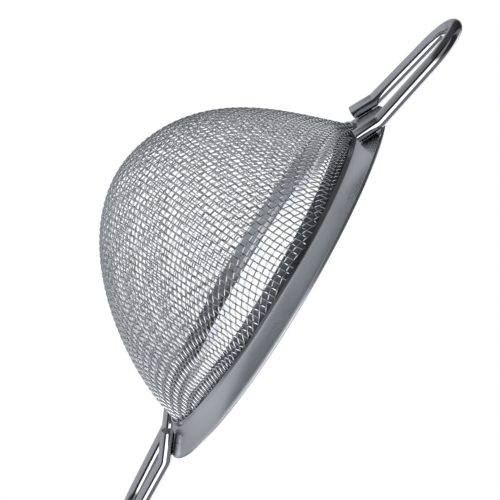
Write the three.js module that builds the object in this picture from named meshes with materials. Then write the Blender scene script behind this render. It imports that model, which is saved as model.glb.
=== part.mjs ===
// Wire strainer with two rests, standing mouth down, in millimetres, +Z up.
//
// A deep bowl of woven wire cloth is clamped between two pressed sheet rings. The outer ring is a
// shallow conical flange with a rounded edge and a short turned-up neck. The inner ring lies under
// the flange as a second cone and turns up inside the cloth as a collar. Two bent round wires are welded on top of
// the flange, one on each side, and reach outwards as the rests that carry the strainer on a bucket.
//
// The rests lie along X. The bowl's tip points up and leans a little towards +X. The pieces are
// worked out from the mouth plane at z = 0, and the whole strainer is then moved so that the origin
// is at the middle of the bottom of its bounding box.

import * as THREE from 'three';

// ---- driving dimensions -------------------------------------------------------------------------

const RIM_RADIUS = 63;            // outermost radius of the outer ring
const EDGE_RADIUS = 0.45;         // radius of the outer ring's rounded edge
const SHEET = 0.5;                // thickness of both pressed rings
const FLANGE_SLOPE = 27;          // degrees that the flange rises inwards
const NECK_RADIUS = 53.5;         // radius of the opening that the cloth comes out of
const NECK_SLOPE = 74;            // degrees that the turned-up neck rises inwards
const NECK_BEND = 1;              // outer bend radius between the flange and the neck
const NECK_LIP = 0.8;             // straight length of the neck after its bend

const FIT_GAP = 0.3;              // clearance between pieces that touch on the real strainer
const CLOTH = 0.8;                // thickness of the woven cloth

const WALL_LEAN = 17;             // degrees that the bowl's wall leans inwards at the neck
const WALL_PULL = 50.4;           // how far the wall keeps that direction
const CROWN_PULL = 10.9;          // how far the crown stays flat round the tip
const BOWL_RISE = 54.3;           // from the neck's edge up to the bowl's tip
const TIP_SHIFT = 3.9;            // sideways shift of the bowl's tip towards +X

const COLLAR_RISE = 3.7;          // height of the collar above the neck's edge
const COLLAR_BEND = 1.2;          // outer bend radius between the inner ring's cone and its collar
const INNER_RADIUS = 61.2;        // outermost radius of the inner ring
const INNER_SLOPE = 23;           // degrees that the inner ring's cone rises inwards

const REST_WIRE = 4.2;            // diameter of the rests' wire
const REST_SPREAD = 31.4;         // distance between a rest's legs where they bend over the rim
const REST_END_RADIUS = 13.1;     // bend radius of a rest's outer end
const REST_LENGTH = 96.8;         // from the ring's axis to the middle of a rest's outer end
const REST_SETBACK = 2.4;         // distance from the neck's opening to the middle of a cut end
const RIGHT_REST_BEND = 62.9;     // radius at which the legs on +X bend away from the flange's slope
const RIGHT_REST_DROP = 10.5;     // degrees that the rest on +X slopes down from there
const LEFT_REST_BEND = 64.7;      // radius at which the legs on -X bend away from the flange's slope
const LEFT_REST_DROP = 4.5;       // degrees that the rest on -X slopes down from there

// ---- how finely curves are divided --------------------------------------------------------------

const RING_SEGMENTS = 72;
const BOWL_SEGMENTS = 56;
const BOWL_STEPS = 16;
const BEND_STEPS = 4;
const EDGE_STEPS = 8;
const END_STEPS = 16;
const WIRE_SIDES = 12;
const WIRE_STEPS = 56;

// ---- materials ----------------------------------------------------------------------------------

const polishedSteel = new THREE.MeshStandardMaterial({ color: 0xc9cbd0, metalness: 1, roughness: 0.18 });
const wovenSteel = new THREE.MeshStandardMaterial({ color: 0xa7a9ad, metalness: 1, roughness: 0.4 });
const drawnSteel = new THREE.MeshStandardMaterial({ color: 0xb9bbc0, metalness: 1, roughness: 0.25 });

// ---- helpers for sections in the (r, z) plane -----------------------------------------------------

const rad = THREE.MathUtils.degToRad;

// A unit vector: 0 degrees points outwards along r, and 90 degrees points up.
const heading = (degrees) => new THREE.Vector2(Math.cos(rad(degrees)), Math.sin(rad(degrees)));

// A point at a signed distance from another along a direction.
const along = (point, direction, distance) => point.clone().addScaledVector(direction, distance);

// Points of an arc about a centre, both ends included.
function arc(centre, radius, fromDegrees, toDegrees, steps) {
  const points = [];
  for (let i = 0; i <= steps; i += 1) {
    const angle = THREE.MathUtils.lerp(fromDegrees, toDegrees, i / steps);
    points.push(along(centre, heading(angle), radius));
  }
  return points;
}

// Turns an outline in the (r, z) plane about Z.
function turned(outline, segments) {
  return new THREE.LatheGeometry(outline, segments).rotateX(Math.PI / 2);
}

// ---- the section that both rings and the cloth share ----------------------------------------------

// The flange's upper face is a cone that touches the top of the rounded edge.
const flangeNormalAngle = 90 - FLANGE_SLOPE;
const flangeNormal = heading(flangeNormalAngle);
const edgeCentre = new THREE.Vector2(RIM_RADIUS - EDGE_RADIUS, EDGE_RADIUS);
const flangeFoot = along(edgeCentre, flangeNormal, EDGE_RADIUS);
const flangeRise = Math.tan(rad(FLANGE_SLOPE));
const flangeHeight = (radius) => flangeFoot.y + (flangeFoot.x - radius) * flangeRise;

// The neck bends up about a centre that lies above the flange.
const neckNormalAngle = 90 - NECK_SLOPE;
const neckNormal = heading(neckNormalAngle);
const neckAlong = heading(180 - NECK_SLOPE);
const neckCornerRadius = NECK_RADIUS + SHEET * neckNormal.x;
const neckCentreRadius = neckCornerRadius - NECK_LIP * neckAlong.x + NECK_BEND * neckNormal.x;
const bendStartRadius = neckCentreRadius - NECK_BEND * flangeNormal.x;
const bendStart = new THREE.Vector2(bendStartRadius, flangeHeight(bendStartRadius));
const neckCentre = along(bendStart, flangeNormal, NECK_BEND);
const neckCorner = along(along(neckCentre, neckNormal, -NECK_BEND), neckAlong, NECK_LIP);
const neckEdge = along(neckCorner, neckNormal, -SHEET);

// The cloth's outer face leaves the neck here, and the collar leans with it.
const wallNormal = heading(WALL_LEAN);
const wallAlong = heading(90 + WALL_LEAN);
const clothExit = new THREE.Vector2(NECK_RADIUS - FIT_GAP, neckEdge.y);
const collarDepth = CLOTH + FIT_GAP;

// The point of the wall at a height, a given depth inside the cloth's outer face.
function wallPoint(height, depth) {
  const start = along(clothExit, wallNormal, -depth);
  return along(start, wallAlong, (height - start.y) / wallAlong.y);
}

// The inner ring's cone starts a fit gap below the flange and falls behind it towards the neck, which
// leaves room for the tucked edge of the cloth. Its collar bends up about a centre inside that room.
const innerNormal = heading(90 - INNER_SLOPE);
const innerFoot = new THREE.Vector2(
  INNER_RADIUS,
  flangeHeight(INNER_RADIUS) - (SHEET + FIT_GAP) / flangeNormal.y,
);
const wallStart = wallPoint(0, collarDepth - COLLAR_BEND);
const startDepth = COLLAR_BEND - wallStart.clone().sub(innerFoot).dot(innerNormal);
const collarBendCentre = along(wallStart, wallAlong, startDepth / wallAlong.dot(innerNormal));

const collarTop = neckEdge.y + COLLAR_RISE;
const tipHeight = neckEdge.y + BOWL_RISE;

// ---- outer ring -----------------------------------------------------------------------------------

function outerRing() {
  // The flange's lower face meets the rounded edge a little inside its centre.
  const dip = Math.asin((SHEET - EDGE_RADIUS) / EDGE_RADIUS);
  const edgeFrom = 180 - FLANGE_SLOPE + THREE.MathUtils.radToDeg(dip);
  const opposite = 180;
  return turned([
    neckEdge,
    ...arc(neckCentre, NECK_BEND + SHEET, neckNormalAngle + opposite, flangeNormalAngle + opposite, BEND_STEPS),
    ...arc(edgeCentre, EDGE_RADIUS, edgeFrom, 360 + flangeNormalAngle, EDGE_STEPS),
    ...arc(neckCentre, NECK_BEND, flangeNormalAngle + opposite, neckNormalAngle + opposite, BEND_STEPS),
    neckCorner,
    neckEdge,
  ], RING_SEGMENTS);
}

// ---- inner ring -----------------------------------------------------------------------------------

function innerRing() {
  const underside = along(innerFoot, innerNormal, -SHEET);
  const bendFrom = 270 - INNER_SLOPE;
  const bendTo = 180 + WALL_LEAN;
  return turned([
    underside,
    innerFoot,
    ...arc(collarBendCentre, COLLAR_BEND, bendFrom, bendTo, BEND_STEPS),
    wallPoint(collarTop, collarDepth),
    wallPoint(collarTop, collarDepth + SHEET),
    ...arc(collarBendCentre, COLLAR_BEND + SHEET, bendTo, bendFrom, BEND_STEPS),
    underside,
  ], RING_SEGMENTS);
}

// ---- bowl of woven cloth ----------------------------------------------------------------------------

function bowl() {
  const crown = new THREE.Vector2(CROWN_PULL, tipHeight);
  const tip = new THREE.Vector2(0, tipHeight);
  const wall = new THREE.CubicBezierCurve(clothExit, along(clothExit, wallAlong, WALL_PULL), crown, tip);
  const outside = [];
  const inside = [];
  for (let i = 0; i < BOWL_STEPS; i += 1) {
    const t = i / BOWL_STEPS;
    const point = wall.getPoint(t);
    const tangent = wall.getTangent(t);
    outside.push(point);
    inside.push(along(point, new THREE.Vector2(tangent.y, -tangent.x), -CLOTH));
  }
  const geometry = turned([
    new THREE.Vector2(0, tipHeight - CLOTH),
    ...inside.reverse(),
    wallPoint(collarBendCentre.y, CLOTH),
    wallPoint(collarBendCentre.y, 0),
    ...outside,
    tip,
  ], BOWL_SEGMENTS);
  // Above the collar the bowl leans sideways, gently at first and again near the tip.
  const position = geometry.attributes.position;
  for (let i = 0; i < position.count; i += 1) {
    const lean = THREE.MathUtils.smoothstep(position.getZ(i), collarTop, tipHeight);
    position.setX(i, position.getX(i) + TIP_SHIFT * lean);
  }
  return geometry;
}

// ---- rests ------------------------------------------------------------------------------------------

// A wire's centre over the flange, at a radius from Z and a sideways distance from the rest's middle.
function overFlange(radius, side) {
  const lift = REST_WIRE / 2 + FIT_GAP;
  const centreRadius = radius + lift * flangeNormal.x;
  const outwards = Math.sqrt(centreRadius ** 2 - side ** 2);
  return new THREE.Vector3(outwards, side, flangeHeight(radius) + lift * flangeNormal.y);
}

function rest(bendRadius, dropDegrees) {
  const halfSpread = REST_SPREAD / 2;
  const exit = overFlange(bendRadius, halfSpread);
  const endCentre = REST_LENGTH - exit.x - REST_END_RADIUS;
  const toEnd = Math.atan2(endCentre, halfSpread);
  const toTouch = Math.acos(REST_END_RADIUS / Math.hypot(endCentre, halfSpread));
  const taper = toTouch - toEnd;
  // A point of the free loop, at a distance outwards along its slope and sideways from its middle.
  const drop = rad(dropDegrees);
  const loopPoint = (outwards, side) => new THREE.Vector3(
    exit.x + outwards * Math.cos(drop),
    side,
    exit.z - outwards * Math.sin(drop),
  );
  const rootRadius = NECK_RADIUS + REST_SETBACK;
  const rootSide = halfSpread + (bendRadius - rootRadius) * Math.tan(taper);
  const half = [overFlange(rootRadius, rootSide), exit];
  for (let i = 0; i < END_STEPS; i += 1) {
    const angle = THREE.MathUtils.lerp(Math.PI / 2 - taper, -Math.PI / 2 + taper, i / END_STEPS);
    const outwards = endCentre + REST_END_RADIUS * Math.cos(angle);
    half.push(loopPoint(outwards, REST_END_RADIUS * Math.sin(angle)));
  }
  const mirror = (point) => new THREE.Vector3(point.x, -point.y, point.z);
  const points = [...half, mirror(half[2]), mirror(exit), mirror(half[0])];
  const path = new THREE.CurvePath();
  for (let i = 1; i < points.length; i += 1) {
    path.add(new THREE.LineCurve3(points[i - 1], points[i]));
  }
  // Half a side's turn puts one of the wire's flat sides on top along the free part of each leg.
  const halfSide = 180 / WIRE_SIDES;
  const outline = arc(new THREE.Vector2(), REST_WIRE / 2, halfSide, 360 + halfSide, WIRE_SIDES);
  const section = new THREE.Shape(outline.slice(1));
  return new THREE.ExtrudeGeometry(section, { steps: WIRE_STEPS, extrudePath: path });
}

// ---- assembly ---------------------------------------------------------------------------------------

const strainer = new THREE.Group();

function addPiece(name, geometry, material) {
  const mesh = new THREE.Mesh(geometry, material);
  mesh.name = name;
  strainer.add(mesh);
  return mesh;
}

addPiece('outer_ring', outerRing(), polishedSteel);
addPiece('inner_ring', innerRing(), polishedSteel);
addPiece('mesh_bowl', bowl(), wovenSteel);
addPiece('right_rest', rest(RIGHT_REST_BEND, RIGHT_REST_DROP), drawnSteel);
addPiece('left_rest', rest(LEFT_REST_BEND, LEFT_REST_DROP), drawnSteel).rotation.z = Math.PI;

const box = new THREE.Box3().setFromObject(strainer);
const middle = box.getCenter(new THREE.Vector3());
strainer.position.set(-middle.x, -middle.y, -box.min.z);

const group = new THREE.Group();
group.add(strainer);

export default group;
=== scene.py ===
# %% [markdown]
# # A wire strainer with two rests
# A deep bowl of woven wire cloth is clamped in a shallow conical rim, and two bent wires reach out
# from the rim to carry the strainer over a bucket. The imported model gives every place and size.
# This script makes the fine surfaces around it: turned rings, bent round wires and a real weave.

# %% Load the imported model
import math

import bpy
import numpy as np
from mathutils import Matrix, Vector


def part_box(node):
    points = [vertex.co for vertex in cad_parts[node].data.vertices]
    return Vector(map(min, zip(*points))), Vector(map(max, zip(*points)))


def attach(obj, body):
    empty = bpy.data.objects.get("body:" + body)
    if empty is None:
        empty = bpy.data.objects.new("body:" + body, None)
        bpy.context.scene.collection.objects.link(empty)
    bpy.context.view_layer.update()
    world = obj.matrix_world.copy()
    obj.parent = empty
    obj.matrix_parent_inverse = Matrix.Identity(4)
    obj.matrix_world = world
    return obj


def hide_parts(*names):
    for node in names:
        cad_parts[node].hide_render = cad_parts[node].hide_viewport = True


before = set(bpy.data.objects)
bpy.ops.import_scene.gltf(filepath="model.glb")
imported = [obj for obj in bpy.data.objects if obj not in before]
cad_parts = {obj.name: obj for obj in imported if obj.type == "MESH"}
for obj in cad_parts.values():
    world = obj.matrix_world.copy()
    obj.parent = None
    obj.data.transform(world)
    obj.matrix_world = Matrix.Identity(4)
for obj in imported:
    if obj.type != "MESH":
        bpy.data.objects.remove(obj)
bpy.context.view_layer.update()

# %% [markdown]
# Sizes are written in millimetres, as a maker would, and turned to metres in one place. The middle
# of the mouth comes from the outer ring's box: the ring is round, and its lowest edge is the mouth.

# %% Millimetres and the middle of the mouth
MM = 0.001
ring_low, ring_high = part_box("outer_ring")
MOUTH = Vector(((ring_low.x + ring_high.x) / 2, (ring_low.y + ring_high.y) / 2, ring_low.z))


def placed(x, y, z):
    """A point in metres, from millimetres measured from the middle of the mouth."""
    return MOUTH + Vector((x, y, z)) * MM


print("middle of the mouth", tuple(round(v, 5) for v in MOUTH))

# %% [markdown]
# ## The camera
# A long lens keeps the rim's ellipse calm, as in a catalogue picture. The camera is placed by its
# direction from the strainer and then rolled about its own line of sight, so that the strainer
# stands on its side in the picture while it still lies flat on the floor of the scene.

# %% Place the camera
VIEW_AZIMUTH = math.radians(13.71)
VIEW_ELEVATION = math.radians(7.73)
VIEW_ROLL = math.radians(-59.38)
VIEW_DISTANCE = 756 * MM
AIM_RIGHT = -8.65 * MM
AIM_UP = 9.81 * MM
SENSOR_WIDTH = 36.0
LENS = 175.38

camera_data = bpy.data.cameras.new("camera")
camera_data.sensor_width = SENSOR_WIDTH
camera_data.lens = LENS
camera_data.clip_start = 0.01
camera_data.clip_end = 100
camera = bpy.data.objects.new("camera", camera_data)
bpy.context.scene.collection.objects.link(camera)
bpy.context.scene.camera = camera

level_right = Vector((math.cos(VIEW_AZIMUTH), math.sin(VIEW_AZIMUTH), 0))
towards_camera = Vector((
    math.sin(VIEW_AZIMUTH) * math.cos(VIEW_ELEVATION),
    -math.cos(VIEW_AZIMUTH) * math.cos(VIEW_ELEVATION),
    math.sin(VIEW_ELEVATION),
))
level_up = towards_camera.cross(level_right)
camera_right = level_right * math.cos(VIEW_ROLL) + level_up * math.sin(VIEW_ROLL)
camera_up = towards_camera.cross(camera_right)
turn = Matrix((camera_right, camera_up, towards_camera)).transposed().to_4x4()
place = MOUTH + towards_camera * VIEW_DISTANCE + camera_right * AIM_RIGHT + camera_up * AIM_UP
camera.matrix_world = Matrix.Translation(place) @ turn
print("camera at", tuple(round(v, 4) for v in place))

# %% [markdown]
# ## Small helpers for working as by hand
# An operator acts on everything that is selected, so each piece starts from a clean selection.

# %% Select nothing, and finish a piece
def select_nothing():
    """Leaves edit mode and deselects everything."""
    if bpy.context.object and bpy.context.object.mode != "OBJECT":
        bpy.ops.object.mode_set(mode="OBJECT")
    bpy.ops.object.select_all(action="DESELECT")


def settle(piece, name, node):
    """Puts a piece's place into its mesh, names it and lets it stand for a node of the model."""
    select_nothing()
    piece.select_set(True)
    bpy.context.view_layer.objects.active = piece
    bpy.ops.object.transform_apply(location=True, rotation=True, scale=True)
    piece.name = name
    piece.data.name = name
    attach(piece, "root")
    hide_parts(node)
    size = [round(v * 1000, 1) for v in piece.dimensions]
    print(name, "faces", len(piece.data.polygons), "size in mm", size)
    return piece


# %% [markdown]
# ## The rim's section
# The rim is two rings pressed from half-millimetre sheet. The outer one is a cone that rises
# inwards, with its outer edge rolled inwards as a hem and a short neck turned up round the cloth.
# The inner one is a second cone under it, and turns up inside the cloth as a collar. A ring could
# be a thin surface that is thickened at the end, but then its rolled hem would come out as a
# plain edge. So both are drawn here as closed sections: a radius and a height in millimetres for
# each corner, with arcs where the press bends the sheet.

# %% Sizes of the rim, in millimetres and degrees
RIM_RADIUS = 63.0
EDGE_RADIUS = 0.45
SHEET = 0.5
FLANGE_SLOPE = 27.0
NECK_RADIUS = 53.5
NECK_SLOPE = 74.0
NECK_BEND = 1.0
NECK_LIP = 0.8
FIT_GAP = 0.3
CLOTH = 0.8
WALL_LEAN = 17.0
COLLAR_RISE = 3.7
COLLAR_BEND = 1.2
INNER_RADIUS = 61.2
INNER_SLOPE = 23.0
print("rim width", 2 * RIM_RADIUS, "neck width", 2 * NECK_RADIUS)


# %% Directions and arcs in the section
def heading(degrees):
    """A unit step in the section: 0 degrees is outwards, 90 degrees is up."""
    return Vector((math.cos(math.radians(degrees)), math.sin(math.radians(degrees))))


def arc(centre, radius, start, stop, steps):
    """Points of an arc, from one heading to another, both ends included."""
    return [centre + heading(start + (stop - start) * i / steps) * radius for i in range(steps + 1)]


print("half way between outwards and up is", tuple(round(v, 3) for v in heading(45)))

# %% Work out the flange, the neck and the wall of the cloth
flange_up = heading(90 - FLANGE_SLOPE)
edge_centre = Vector((RIM_RADIUS - EDGE_RADIUS, EDGE_RADIUS))
flange_foot = edge_centre + flange_up * EDGE_RADIUS
flange_rise = math.tan(math.radians(FLANGE_SLOPE))


def flange_height(radius):
    """The height of the flange's upper face at a radius."""
    return flange_foot.y + (flange_foot.x - radius) * flange_rise


neck_out = heading(90 - NECK_SLOPE)
neck_along = heading(180 - NECK_SLOPE)
neck_corner_radius = NECK_RADIUS + SHEET * neck_out.x
neck_centre_radius = neck_corner_radius - NECK_LIP * neck_along.x + NECK_BEND * neck_out.x
bend_start_radius = neck_centre_radius - NECK_BEND * flange_up.x
bend_start = Vector((bend_start_radius, flange_height(bend_start_radius)))
neck_centre = bend_start + flange_up * NECK_BEND
neck_corner = neck_centre - neck_out * NECK_BEND + neck_along * NECK_LIP
neck_edge = neck_corner - neck_out * SHEET

wall_out = heading(WALL_LEAN)
wall_along = heading(90 + WALL_LEAN)
cloth_exit = Vector((NECK_RADIUS - FIT_GAP, neck_edge.y))
collar_depth = CLOTH + FIT_GAP
collar_top = neck_edge.y + COLLAR_RISE
print("neck edge", tuple(round(v, 2) for v in neck_edge), "collar top", round(collar_top, 2))


def wall_point(height, depth):
    """The point of the bowl's wall at a height, a depth inside the cloth's outer face."""
    start = cloth_exit - wall_out * depth
    return start + wall_along * ((height - start.y) / wall_along.y)


# %% [markdown]
# ## Turning a ring
# A ring could be a profile that is spun in many small steps. Here it is drawn like a pot on a
# wheel, which gives the same mesh with fewer steps: a fine circle is extruded from corner to
# corner of the section, and each new loop is scaled to its radius and lifted to its height, until
# the last loop meets the first.

# %% Turn a closed section into a ring
ROUND_SEGMENTS = 288
SAME_PLACE = 0.002 * MM


def turn_ring(section):
    """A closed ring from the corners of its section."""
    select_nothing()
    first = section[0]
    bpy.ops.mesh.primitive_circle_add(
        vertices=ROUND_SEGMENTS, radius=first.x * MM, location=placed(0, 0, first.y))
    ring = bpy.context.object
    bpy.ops.object.transform_apply(location=True, rotation=False, scale=False)
    bpy.ops.object.mode_set(mode="EDIT")
    bpy.ops.mesh.select_mode(type="EDGE")
    bpy.ops.mesh.select_all(action="SELECT")
    for before, corner in zip(section, section[1:] + [first]):
        lift = (0, 0, (corner.y - before.y) * MM)
        bpy.ops.mesh.extrude_edges_move(TRANSFORM_OT_translate={"value": lift})
        ratio = corner.x / before.x
        bpy.ops.transform.resize(value=(ratio, ratio, 1), center_override=placed(0, 0, corner.y))
    bpy.ops.mesh.select_all(action="SELECT")
    bpy.ops.mesh.remove_doubles(threshold=SAME_PLACE)
    bpy.ops.mesh.normals_make_consistent(inside=False)
    bpy.ops.object.mode_set(mode="OBJECT")
    bpy.ops.object.shade_smooth_by_angle(angle=math.radians(50))
    return ring


# %% Turn the outer ring
HEM_RADIUS = 0.58
HEM_CURL = 35
hem_centre = Vector((RIM_RADIUS - HEM_RADIUS, HEM_RADIUS))
outer_section = [
    neck_edge,
    *arc(neck_centre, NECK_BEND + SHEET, 270 - NECK_SLOPE, 270 - FLANGE_SLOPE, 10),
    *arc(hem_centre, HEM_RADIUS, 180 - FLANGE_SLOPE, 450 - FLANGE_SLOPE + HEM_CURL, 24),
    *arc(neck_centre, NECK_BEND, 270 - FLANGE_SLOPE, 270 - NECK_SLOPE, 10),
    neck_corner,
]
outer_ring = settle(turn_ring(outer_section), "outer_ring_turned", "outer_ring")

# %% Turn the inner ring
POLISHED_TO = 5.9
inner_up = heading(90 - INNER_SLOPE)
inner_foot = Vector((
    INNER_RADIUS, flange_height(INNER_RADIUS) - (SHEET + FIT_GAP) / flange_up.y))
wall_start = wall_point(0, collar_depth - COLLAR_BEND)
start_depth = COLLAR_BEND - (wall_start - inner_foot).dot(inner_up)
bend_centre = wall_start + wall_along * (start_depth / wall_along.dot(inner_up))
inner_section = [
    inner_foot - inner_up * SHEET,
    inner_foot,
    *arc(bend_centre, COLLAR_BEND, 270 - INNER_SLOPE, 180 + WALL_LEAN, 8),
    wall_point(collar_top, collar_depth),
    wall_point(collar_top, collar_depth + SHEET),
    wall_point(POLISHED_TO, collar_depth + SHEET),
    *arc(bend_centre, COLLAR_BEND + SHEET, 180 + WALL_LEAN, 270 - INNER_SLOPE, 8),
]
inner_ring = settle(turn_ring(inner_section), "inner_ring_turned", "inner_ring")

# %% [markdown]
# ## Bending a rest
# Each rest is one round wire with four straight stretches and three bends between them. It could
# be a curve with a round bevel, but a curve's bends are only nearly round. So it is made as on a
# bending jig: a disc the size of the wire is extruded along each stretch, and spun about the
# middle of each bend. The stretches are given by the corners where they would meet.

# %% Sizes of the rests, in millimetres and degrees
REST_WIRE = 4.2
REST_SPREAD = 31.4
REST_END_RADIUS = 13.1
REST_LENGTH = 96.8
REST_SETBACK = 2.4
REST_BEND = 5.0
WIRE_SIDES = 40
print("rests reach", REST_LENGTH, "from the axis, wire", REST_WIRE)


def over_flange(radius, side):
    """The wire's middle over the flange, at a radius and a distance to the side."""
    lift = REST_WIRE / 2 + FIT_GAP
    centre_radius = radius + lift * flange_up.x
    outwards = math.sqrt(centre_radius ** 2 - side ** 2)
    return Vector((outwards, side, flange_height(radius) + lift * flange_up.y))


# %% Bend a wire along its corners
DEGREES_PER_STEP = 4


def extend_wire(step):
    """Draws the wire's open end on by a straight step."""
    bpy.ops.mesh.extrude_region_move(TRANSFORM_OT_translate={"value": step})


def bend_wire(corners, radii):
    """A round wire along straight stretches, with a bend at each corner between its ends."""
    start, first_way = corners[0], (corners[1] - corners[0]).normalized()
    select_nothing()
    bpy.ops.mesh.primitive_circle_add(
        vertices=WIRE_SIDES, radius=REST_WIRE / 2 * MM, fill_type="NGON",
        location=start, rotation=first_way.to_track_quat("Z", "Y").to_euler())
    wire = bpy.context.object
    bpy.ops.object.transform_apply(location=True, rotation=True, scale=False)
    bpy.ops.object.mode_set(mode="EDIT")
    bpy.ops.mesh.select_mode(type="FACE")
    bpy.ops.mesh.select_all(action="SELECT")
    here = start
    for corner, beyond, radius in zip(corners[1:], corners[2:], radii):
        way_in, way_out = (corner - here).normalized(), (beyond - corner).normalized()
        angle = way_in.angle(way_out)
        cut = radius * MM * math.tan(angle / 2)
        straight = corner - way_in * cut
        extend_wire(straight - here)
        axis = way_in.cross(way_out).normalized()
        centre = straight + axis.cross(way_in) * radius * MM
        steps = max(6, round(math.degrees(angle) / DEGREES_PER_STEP))
        bpy.ops.mesh.spin(steps=steps, angle=-angle, center=centre, axis=axis)
        here = corner + way_out * cut
    extend_wire(corners[-1] - here)
    bpy.ops.mesh.select_all(action="SELECT")
    bpy.ops.mesh.remove_doubles(threshold=SAME_PLACE)
    bpy.ops.mesh.normals_make_consistent(inside=False)
    bpy.ops.object.mode_set(mode="OBJECT")
    return wire


# %% [markdown]
# ## Weld seams
# A leg is held on the flange by a bead of weld that fills the narrow wedge between the round wire
# and the sheet. Only its dark edge shows. It could be a curve along the wedge, but a short round
# bar, half sunk in the leg, gives the same edge. It is joined to the wire, and its faces are marked
# so that they can be given a near-black finish later. That finish is painted shade: it stands for
# the contact shadow under the leg and for the wire's dark underside mirrored in the flange.

# %% Lay a weld seam under a leg
SEAM_RADIUS = 1.25
SEAM_DROP = 1.05
SEAM_SHARE = 0.62
SEAM_MIDDLE = 0.4


def weld_seam(wire, start, stop):
    """A bead between a leg and the flange, joined to the wire. Its dark finish is painted shade under
    the leg.
    """
    way = (stop - start).normalized()
    sideways = way.cross(Vector((0, 0, 1))).normalized()
    under = way.cross(sideways).normalized()
    middle = start.lerp(stop, SEAM_MIDDLE) + under * SEAM_DROP * MM
    select_nothing()
    bpy.ops.mesh.primitive_cylinder_add(
        vertices=20, radius=SEAM_RADIUS * MM, depth=(stop - start).length * SEAM_SHARE,
        location=middle, rotation=way.to_track_quat("Z", "Y").to_euler())
    bead = bpy.context.object
    mark = bead.data.attributes.new("seam", "INT", "FACE")
    mark.data.foreach_set("value", [1] * len(bead.data.polygons))
    wire.select_set(True)
    bpy.context.view_layer.objects.active = wire
    bpy.ops.object.join()


# %% [markdown]
# ## The two rests
# Seen from above, a rest's legs come together a little towards the round end. Seen from the side,
# the wire lies along the flange, then bends over the rim and slopes down. The two rests bend over
# the rim at slightly different places, as hand-bent ones do.

# %% Bend both rests
CUT_END_ROUNDING = 0.25


def rest(name, node, side, bend_radius, drop_degrees):
    """A rest on +X (side 1) or on -X (side -1) whose loop slopes down by an angle."""
    half = REST_SPREAD / 2
    leave = over_flange(bend_radius, half)
    end_centre = REST_LENGTH - leave.x - REST_END_RADIUS
    taper = math.acos(REST_END_RADIUS / math.hypot(end_centre, half)) - math.atan2(end_centre, half)
    root_radius = NECK_RADIUS + REST_SETBACK
    root_side = half + (bend_radius - root_radius) * math.tan(taper)
    root = over_flange(root_radius, root_side)
    drop = math.radians(drop_degrees)
    meet = end_centre + REST_END_RADIUS / math.sin(taper)
    apex = Vector((leave.x + meet * math.cos(drop), 0, leave.z - meet * math.sin(drop)))
    points = [
        root, leave, apex,
        Vector((leave.x, -leave.y, leave.z)), Vector((root.x, -root.y, root.z)),
    ]
    corners = [placed(p.x * side, p.y * side, p.z) for p in points]
    wire = bend_wire(corners, [REST_BEND, REST_END_RADIUS, REST_BEND])
    rounding = wire.modifiers.new("rounded cut ends", "BEVEL")
    rounding.width = CUT_END_ROUNDING * MM
    rounding.segments = 3
    rounding.limit_method = "ANGLE"
    rounding.angle_limit = math.radians(60)
    bpy.ops.object.modifier_apply(modifier=rounding.name)
    # Each root gets a weld bead whose near-black finish paints the shade under the leg.
    for start, stop in ((corners[0], corners[1]), (corners[4], corners[3])):
        weld_seam(wire, start, stop)
    bpy.ops.object.shade_smooth_by_angle(angle=math.radians(40))
    return settle(wire, name, node)


right_rest = rest("right_rest_bent", "right_rest", 1, 62.9, 10.5)
left_rest = rest("left_rest_bent", "left_rest", -1, 64.7, 4.5)

# %% [markdown]
# ## The bowl's shape
# The cloth leaves the rim as a wall that leans inwards, and rounds over to a flat crown. It could
# be pressed from a sheet by simulation, but the real bowl is pressed on a smooth punch, so its
# meridian is one Bezier curve. Higher up the whole bowl leans a little to one side. The weave lies
# in the middle of the cloth, a wire's thickness inside that outer shape, and the wall runs on
# downwards between the two rings.

# %% Measure the bowl's meridian
WALL_PULL = 50.4
CROWN_PULL = 10.9
BOWL_RISE = 54.3
TIP_SHIFT = 3.9
WEAVE_WIRE = 0.42
WEAVE_PITCH = 2.02
WEAVE_TURN = math.radians(18)
MERIDIAN_POINTS = 4000
SKIRT_LENGTH = 60
SKIRT_POINTS = 600

tip_height = neck_edge.y + BOWL_RISE
share = np.linspace(0, 1, MERIDIAN_POINTS)[:, None]
pulls = [
    np.array(cloth_exit), np.array(cloth_exit + wall_along * WALL_PULL),
    np.array((CROWN_PULL, tip_height)), np.array((0.0, tip_height)),
]
meridian = (
    pulls[0] * (1 - share) ** 3 + pulls[1] * 3 * share * (1 - share) ** 2
    + pulls[2] * 3 * share ** 2 * (1 - share) + pulls[3] * share ** 3
)
down_the_skirt = np.linspace(SKIRT_LENGTH, 0.01, SKIRT_POINTS)[:, None]
skirt = np.array(cloth_exit)[None] - np.array(wall_along)[None] * down_the_skirt
outline = np.vstack([skirt, meridian])[::-1]
steps = np.diff(outline, axis=0)
tangent = np.vstack([steps[:1], steps])
tangent /= np.linalg.norm(tangent, axis=1)[:, None]
inwards = np.stack([tangent[:, 1], -tangent[:, 0]], axis=1)
inside_point = np.array([0, 20.0])
inwards *= np.sign(np.sum(inwards * (inside_point - outline), axis=1))[:, None]
middle = outline + inwards * WEAVE_WIRE
middle[0, 0] = 0
from_tip = np.concatenate([[0], np.cumsum(np.linalg.norm(np.diff(middle, axis=0), axis=1))])
print("from the tip to the rim along the cloth, mm", round(float(from_tip[-1 - SKIRT_POINTS]), 1))


# %% Find a point of the bowl from flat coordinates
def on_bowl(flat):
    """Points of the weave's middle surface, from polar distances from the tip, in millimetres."""
    reach = np.hypot(flat[..., 0], flat[..., 1])
    radius = np.interp(reach, from_tip, middle[:, 0])
    height = np.interp(reach, from_tip, middle[:, 1])
    safe = np.maximum(reach, 1e-9)
    lean = np.clip((height - collar_top) / (tip_height - collar_top), 0, 1)
    lean = lean * lean * (3 - 2 * lean)
    return np.stack([
        radius * flat[..., 0] / safe + TIP_SHIFT * lean,
        radius * flat[..., 1] / safe,
        height,
    ], axis=-1)


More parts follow.
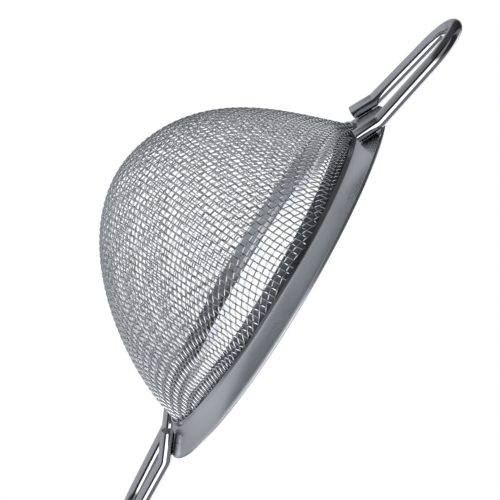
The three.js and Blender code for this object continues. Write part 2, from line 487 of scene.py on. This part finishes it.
def out_of_bowl(flat):
    """The surface's outward direction at the same points."""
    step = 0.05
    along_x = on_bowl(flat + [step, 0]) - on_bowl(flat - [step, 0])
    along_y = on_bowl(flat + [0, step]) - on_bowl(flat - [0, step])
    normal = np.cross(along_x, along_y)
    return normal / np.linalg.norm(normal, axis=-1, keepdims=True)


print("tip of the weave, mm", on_bowl(np.zeros(2)).round(2))

# %% [markdown]
# ## The net
# Flat wire cloth that is pressed into a bowl keeps its wires' spacing, and its square openings
# shear into diamonds between the two directions of the wires. Such a net is built from crossing to
# crossing: two lines through the tip are stepped off first, and every other crossing lies one
# pitch away from two neighbours that are already known. A flat pattern that is laid over the bowl
# would be simpler, but its openings would stretch towards the rim, which wires can't do.

# %% Step off a line of crossings through the tip
NET_REACH = 52


def axis_line(direction):
    """Crossings along one straight line from the tip, one pitch apart."""
    line = [np.zeros(2)]
    for _ in range(NET_REACH - 1):
        reach = np.linalg.norm(line[-1]) + WEAVE_PITCH * np.linspace(0.9, 1.1, 201)
        tries = reach[:, None] * direction
        gaps = np.linalg.norm(on_bowl(tries) - on_bowl(line[-1]), axis=1)
        line.append(tries[np.argmin(abs(gaps - WEAVE_PITCH))])
    return np.array(line)


print("crossings on a line", NET_REACH)

# %% Find the crossings one pitch away from two others
NEWTON_STEPS = 12
PROBE = 0.01
LONGEST_MOVE = 0.6 * WEAVE_PITCH
FLATTEST = 1e-3


def one_pitch_from(left, below, guess):
    """Moves guessed crossings, by Newton's method, until both their distances are one pitch."""
    for _ in range(NEWTON_STEPS):
        here = on_bowl(guess)
        to_left, to_below = here - on_bowl(left), here - on_bowl(below)
        misses = np.stack([
            np.linalg.norm(to_left, axis=1) - WEAVE_PITCH,
            np.linalg.norm(to_below, axis=1) - WEAVE_PITCH,
        ], axis=1)
        slope_x = (on_bowl(guess + [PROBE, 0]) - here) / PROBE
        slope_y = (on_bowl(guess + [0, PROBE]) - here) / PROBE
        unit_left = to_left / np.linalg.norm(to_left, axis=1)[:, None]
        unit_below = to_below / np.linalg.norm(to_below, axis=1)[:, None]
        a, b = np.sum(unit_left * slope_x, 1), np.sum(unit_left * slope_y, 1)
        c, d = np.sum(unit_below * slope_x, 1), np.sum(unit_below * slope_y, 1)
        scale = a * d - b * c
        scale = np.where(abs(scale) < FLATTEST, FLATTEST, scale)
        move = np.stack([
            (d * misses[:, 0] - b * misses[:, 1]) / scale,
            (a * misses[:, 1] - c * misses[:, 0]) / scale,
        ], axis=1)
        size = np.linalg.norm(move, axis=1)[:, None]
        guess = guess - move * np.minimum(1, LONGEST_MOVE / np.maximum(size, 1e-9))
    return guess


# %% Fill one quarter of the net
def quarter_net(sign_x, sign_y):
    """Flat coordinates of the crossings in one quarter, filled diagonal by diagonal."""
    count = NET_REACH
    net = np.zeros((count, count, 2))
    cosine, sine = math.cos(WEAVE_TURN), math.sin(WEAVE_TURN)
    net[:, 0] = axis_line(np.array([cosine, sine]) * sign_x)
    net[0, :] = axis_line(np.array([-sine, cosine]) * sign_y)
    for diagonal in range(2, 2 * count - 1):
        i = np.arange(max(1, diagonal - count + 1), min(count, diagonal))
        j = diagonal - i
        left, below = net[i - 1, j], net[i, j - 1]
        net[i, j] = one_pitch_from(left, below, left + below - net[i - 1, j - 1])
    return net


# %% Join the four quarters
side_count = NET_REACH - 1
net = np.zeros((2 * side_count + 1, 2 * side_count + 1, 2))
for sign_x in (1, -1):
    for sign_y in (1, -1):
        quarter = quarter_net(sign_x, sign_y)
        rows = side_count + sign_x * np.arange(NET_REACH)
        columns = side_count + sign_y * np.arange(NET_REACH)
        net[np.ix_(rows, columns)] = quarter
crossings = on_bowl(net)
cloth_bottom = bend_centre.y
kept = crossings[..., 2] >= cloth_bottom
print("crossings on the bowl", int(kept.sum()))

# %% [markdown]
# ## Weaving the wires
# In a plain weave each wire passes over one crossing wire and under the next, so it waves by half
# its own thickness to each side of the cloth. Each wire is a curve with a round bevel, drawn
# through points between the crossings, and is then turned into a mesh. A bump pattern on a skin
# would be lighter, but light has to pass through the openings. The two directions of the cloth
# are kept as pieces of their own, in halves, so that no piece grows too heavy.

# %% Draw one direction's wires
POINTS_PER_CROSSING = 4
CRIMP = WEAVE_WIRE / 2
SHORTEST_RUN = 2


def smooth_through(knots, values, where):
    """A smooth line through evenly spaced values, with Catmull-Rom pieces."""
    padded = np.concatenate([[2 * values[0] - values[1]], values, [2 * values[-1] - values[-2]]])
    left = np.clip(np.floor(where).astype(int), 0, len(knots) - 2)
    t = where - left
    p0, p1, p2, p3 = padded[left], padded[left + 1], padded[left + 2], padded[left + 3]
    return 0.5 * (
        2 * p1 + (p2 - p0) * t + (2 * p0 - 5 * p1 + 4 * p2 - p3) * t ** 2
        + (3 * p1 - p0 - 3 * p2 + p3) * t ** 3)


def wire_centreline(row, first_side):
    """A wire's middle through a row of crossings, waving from side to side of the cloth."""
    count = (len(row) - 1) * POINTS_PER_CROSSING + 1
    where = np.linspace(0, len(row) - 1, count)
    knots = np.arange(len(row))
    flat = np.stack([smooth_through(knots, row[:, axis], where) for axis in (0, 1)], axis=1)
    wave = first_side * CRIMP * np.cos(math.pi * where)
    return on_bowl(flat) + out_of_bowl(flat) * wave[:, None]


def longest_run(flags):
    """First and last place of the longest unbroken run of crossings that a wire keeps."""
    edges = np.flatnonzero(np.diff(np.concatenate([[0], flags.astype(int), [0]])))
    starts, stops = edges[::2], edges[1::2] - 1
    if not len(starts):
        return None
    best = np.argmax(stops - starts)
    return (starts[best], stops[best]) if stops[best] - starts[best] > SHORTEST_RUN else None


# %% Weave a group of wires into one piece
def weave(name, rows, keep, sides):
    """One piece of cloth from rows of crossings, and the side on which each wire starts."""
    curve = bpy.data.curves.new(name, "CURVE")
    curve.dimensions = "3D"
    curve.bevel_depth = WEAVE_WIRE / 2 * MM
    curve.bevel_resolution = 1
    curve.use_fill_caps = True
    for row, flags, first_side in zip(rows, keep, sides):
        run = longest_run(flags)
        if run is None:
            continue
        start, stop = run
        centreline = wire_centreline(row[start:stop + 1], first_side * (-1) ** int(start))
        spline = curve.splines.new("POLY")
        spline.points.add(len(centreline) - 1)
        points = np.array(MOUTH)[None] + centreline * MM
        spline.points.foreach_set("co", np.hstack([points, np.ones((len(points), 1))]).ravel())
    drawn = bpy.data.objects.new(name, curve)
    bpy.context.scene.collection.objects.link(drawn)
    select_nothing()
    drawn.select_set(True)
    bpy.context.view_layer.objects.active = drawn
    bpy.ops.object.convert(target="MESH")
    piece = bpy.context.object
    bpy.ops.object.shade_smooth_by_angle(angle=math.radians(75))
    return settle(piece, name, "mesh_bowl")


# %% Weave both directions
wire_number = np.arange(2 * side_count + 1)
first_half, second_half = wire_number[:side_count], wire_number[side_count:]
net_across = net.transpose(1, 0, 2)
woven = []
for part, chosen in (("front", first_half), ("back", second_half)):
    sides = (-1.0) ** chosen
    woven.append(weave(f"long_wires_{part}", net_across[chosen], kept.T[chosen], sides))
for part, chosen in (("left", first_half), ("right", second_half)):
    sides = (-1.0) ** (chosen + 1)
    woven.append(weave(f"cross_wires_{part}", net[chosen], kept[chosen], sides))

# %% [markdown]
# ## Materials
# Every metal starts from its common name and keeps the default IOR. Colours are written as sRGB
# hex values and turned to linear light by one function. Another adds a node with its settings and
# links. Patterns read Object coordinates, which are in metres, so a patch a few millimetres wide
# needs a scale of one over its width.

# %% Colour and node helpers
def linear(hex_colour):
    """An sRGB hex colour as linear RGBA."""
    values = [int(hex_colour[i:i + 2], 16) / 255 for i in (1, 3, 5)]
    return tuple(v / 12.92 if v <= 0.04045 else ((v + 0.055) / 1.055) ** 2.4 for v in values) + (1.0,)


def add_node(owner, kind, settings=None, links=None):
    """Adds a node, sets its fields or inputs, and links its inputs from other nodes' outputs."""
    node = owner.node_tree.nodes.new(kind)
    for key, value in (settings or {}).items():
        if isinstance(key, str) and hasattr(node, key):
            setattr(node, key, value)
        else:
            node.inputs[key].default_value = value
    for key, source in (links or {}).items():
        owner.node_tree.links.new(source, node.inputs[key])
    return node


def new_metal(name, colour, roughness, metallic=1.0):
    """A plain metal, and the shader that its patterns are linked to."""
    material = bpy.data.materials.new(name)
    material.use_nodes = True
    shader = material.node_tree.nodes["Principled BSDF"]
    shader.inputs["Base Color"].default_value = linear(colour)
    shader.inputs["Metallic"].default_value = metallic
    shader.inputs["Roughness"].default_value = roughness
    return material, shader


def vary_roughness(material, shader, grain, smoothest, roughest):
    """Lets the roughness wander between two values, in patches one grain wide, in millimetres."""
    place = add_node(material, "ShaderNodeTexCoord")
    cloud = add_node(
        material, "ShaderNodeTexNoise", {"Scale": 1 / (grain * MM), "Detail": 4.0},
        {"Vector": place.outputs["Object"]})
    spread = add_node(
        material, "ShaderNodeMapRange",
        {"From Min": 0.3, "From Max": 0.7, "To Min": smoothest, "To Max": roughest},
        {"Value": cloud.outputs["Fac"]})
    material.node_tree.links.new(spread.outputs["Result"], shader.inputs["Roughness"])


print("white is", linear("#ffffff"))

# %% [markdown]
# ### The rings' steel
# Both rings are pressed from bright stainless sheet. The press leaves a satin shine that is a little
# uneven, so the roughness wanders in soft patches about 17 mm wide.

# %% Bright pressed stainless steel, for both rings
PRESSED_PATCH = 16.667


def pressed_stainless():
    material, shader = new_metal("bright pressed stainless steel", "#bdc0c4", 0.24)
    vary_roughness(material, shader, PRESSED_PATCH, 0.2, 0.28)
    return material


ring_steel = pressed_stainless()
print(ring_steel.name)

# %% [markdown]
# ### The collar's steel
# The collar inside the cloth is never polished, and wax dulls it. A metal at half strength gives
# the eye a soft grey that mirrors nothing.

# %% Dull pressed steel, for the inner ring's collar
def dull_steel():
    material, _ = new_metal("dull pressed steel", "#83888e", 0.45, metallic=0.5)
    return material


collar_steel = dull_steel()
print(collar_steel.name)

# %% [markdown]
# ### The weld beads get a rough, nearly black steel. The black is painted shade: it stands for the
# contact shadow under each leg and for the wire's dark underside mirrored in the flange.
# Welding burns steel nearly black beside the bead, which then looks rough.

# %% Near-black steel as painted shade, for the weld seams
def weld_painted_shade():
    material, _ = new_metal("weld steel painted dark as shade", "#2c2c2e", 0.5)
    return material


weld_shade_steel = weld_painted_shade()
print(weld_shade_steel.name)

# %% [markdown]
# ### The rests' wire
# Drawn wire is pulled through a die, which leaves it much smoother than sheet, so it mirrors the
# room in long clean lines. Its roughness wanders in patches about 11 mm long.

# %% Bright drawn stainless wire, for the rests
DRAWN_PATCH = 11.111


def drawn_stainless():
    material, shader = new_metal("bright drawn stainless wire", "#b2b2b6", 0.08)
    vary_roughness(material, shader, DRAWN_PATCH, 0.05, 0.11)
    return material


rest_steel = drawn_stainless()
print(rest_steel.name)

# %% [markdown]
# ### The cloth's wire
# The weaving wire is drawn too, but paler, and each stretch of the cloth is a little lighter or
# darker than the next, in patches about 8 mm wide.

# %% Plain stainless weaving wire, for the cloth
CLOTH_PATCH = 8.333


def weaving_wire():
    material, shader = new_metal("stainless weaving wire", "#d5d7d9", 0.15)
    place = add_node(material, "ShaderNodeTexCoord")
    cloud = add_node(
        material, "ShaderNodeTexNoise", {"Scale": 1 / (CLOTH_PATCH * MM), "Detail": 3.0},
        {"Vector": place.outputs["Object"]})
    shade = add_node(
        material, "ShaderNodeMix",
        {"data_type": "RGBA", "A": linear("#c8cacd"), "B": linear("#e2e4e6")},
        {"Factor": cloud.outputs["Fac"]})
    material.node_tree.links.new(shade.outputs["Result"], shader.inputs["Base Color"])
    return material


cloth_steel = weaving_wire()
print(cloth_steel.name)

# %% [markdown]
# ### Which piece gets which
# The rings, the rests and the cloth each take their metal as a whole. Then the marked faces of the
# weld seams take the near-black steel that paints the shade under the legs, and the upright faces
# of the collar take their own.

# %% Put the materials on
for pieces, material in (
    ((outer_ring, inner_ring), ring_steel),
    ((right_rest, left_rest), rest_steel),
    (woven, cloth_steel),
):
    for piece in pieces:
        piece.data.materials.clear()
        piece.data.materials.append(material)
# The weld seams' faces take the near-black steel that paints the contact shadow under each leg.
for bent in (right_rest, left_rest):
    bent.data.materials.append(weld_shade_steel)
    seam = bent.data.attributes["seam"]
    for face, mark in zip(bent.data.polygons, seam.data):
        face.material_index = mark.value
    bent.data.attributes.remove(seam)

UPRIGHT = 0.4
collar_from = placed(0, 0, POLISHED_TO - 0.01).z
inner_ring.data.materials.append(collar_steel)
for face in inner_ring.data.polygons:
    on_collar = abs(face.normal.z) < UPRIGHT and face.center.z > collar_from
    face.material_index = 1 if on_collar else 0
print("collar faces", sum(face.material_index for face in inner_ring.data.polygons))

# %% [markdown]
# ## The studio
# The strainer stands on a plain white floor in front of a white wall. Both glow evenly, and are
# seen by the camera only, so they cast nothing on the metal.

# %% Floor and wall
def glowing_sheet(name, place, rotation):
    """A wide white sheet that only the camera sees."""
    select_nothing()
    bpy.ops.mesh.primitive_plane_add(size=40, location=place, rotation=rotation)
    sheet = bpy.context.object
    sheet.name = name
    material = bpy.data.materials.new(name)
    material.use_nodes = True
    material.node_tree.nodes.clear()
    glow = add_node(material, "ShaderNodeEmission", {"Color": (1, 1, 1, 1), "Strength": 1.0})
    add_node(material, "ShaderNodeOutputMaterial", None, {"Surface": glow.outputs["Emission"]})
    sheet.data.materials.append(material)
    sheet.visible_glossy = False
    sheet.visible_diffuse = False
    sheet.visible_shadow = False
    return sheet


floor = glowing_sheet("white floor", (0, 0, -0.5 * MM), (0, 0, 0))
facing_camera = towards_camera.to_track_quat("Z", "Y").to_euler()
wall = glowing_sheet("white wall", -towards_camera * 15, facing_camera)
print("floor and wall are up")

# %% [markdown]
# ## The light
# Bright metal shows what is round it, and soft boxes with dark gaps between them are what gives it
# its long light and dark lines. Lamps could stand for them. Here the room itself is painted as
# bands, by their angle round the rests' axis: a bright panel low in front, a dark gap at the height
# of the eye, and a soft grey room above and behind. To +X the bands fade, as a room does past its
# lamps.

# %% The room, painted by direction
world = bpy.data.worlds.new("room")
bpy.context.scene.world = world
world.use_nodes = True
backdrop = world.node_tree.nodes["Background"]
direction = add_node(world, "ShaderNodeTexCoord")
parts = add_node(world, "ShaderNodeSeparateXYZ", None, {"Vector": direction.outputs["Generated"]})
forwards = add_node(world, "ShaderNodeMath", {"operation": "MULTIPLY", 1: -1.0}, {0: parts.outputs["Y"]})
around = add_node(world, "ShaderNodeMath", {"operation": "ARCTAN2"},
                  {0: parts.outputs["Z"], 1: forwards.outputs["Value"]})
turns = add_node(world, "ShaderNodeMath", {"operation": "MULTIPLY_ADD", 1: 0.5 / math.pi, 2: 0.5},
                 {0: around.outputs["Value"]})
bands = add_node(world, "ShaderNodeValToRGB", None, {"Fac": turns.outputs["Value"]})

# %% The bands: an angle in degrees above the horizon in front, and a brightness
STRONGEST = 3.1
FADED = 0.45
BANDS = (
    (-180, (0.26, 0.26, 0.28)), (-150, (0.26, 0.26, 0.28)), (-142, (2.0, 2.0, 2.1)),
    (-124, (2.0, 2.0, 2.1)), (-116, (0.32, 0.32, 0.34)), (-44, (0.32, 0.32, 0.34)),
    (-36, (3.0, 3.0, 3.05)), (-1, (3.0, 3.0, 3.05)), (4, (0.05, 0.05, 0.055)),
    (31, (0.06, 0.06, 0.065)), (37, (0.62, 0.63, 0.67)), (140, (0.68, 0.69, 0.73)),
    (165, (0.4, 0.4, 0.44)),
)
ramp = bands.color_ramp
while len(ramp.elements) < len(BANDS):
    ramp.elements.new(0.5)
for element, (degrees, _) in zip(ramp.elements, BANDS):
    element.position = (degrees + 180) / 360
for element, (_, tone) in zip(ramp.elements, BANDS):
    element.color = (*[v / STRONGEST for v in tone], 1.0)
side_fade = add_node(
    world, "ShaderNodeMapRange",
    {"From Min": 0.1, "From Max": 0.4, "To Min": STRONGEST, "To Max": FADED},
    {"Value": parts.outputs["X"]})
world.node_tree.links.new(bands.outputs["Color"], backdrop.inputs["Color"])
world.node_tree.links.new(side_fade.outputs["Result"], backdrop.inputs["Strength"])

# Standard keeps the metal's greys and the white floor as they are, without a film's curve.
bpy.context.scene.view_settings.view_transform = "Standard"
print("bands", len(BANDS))
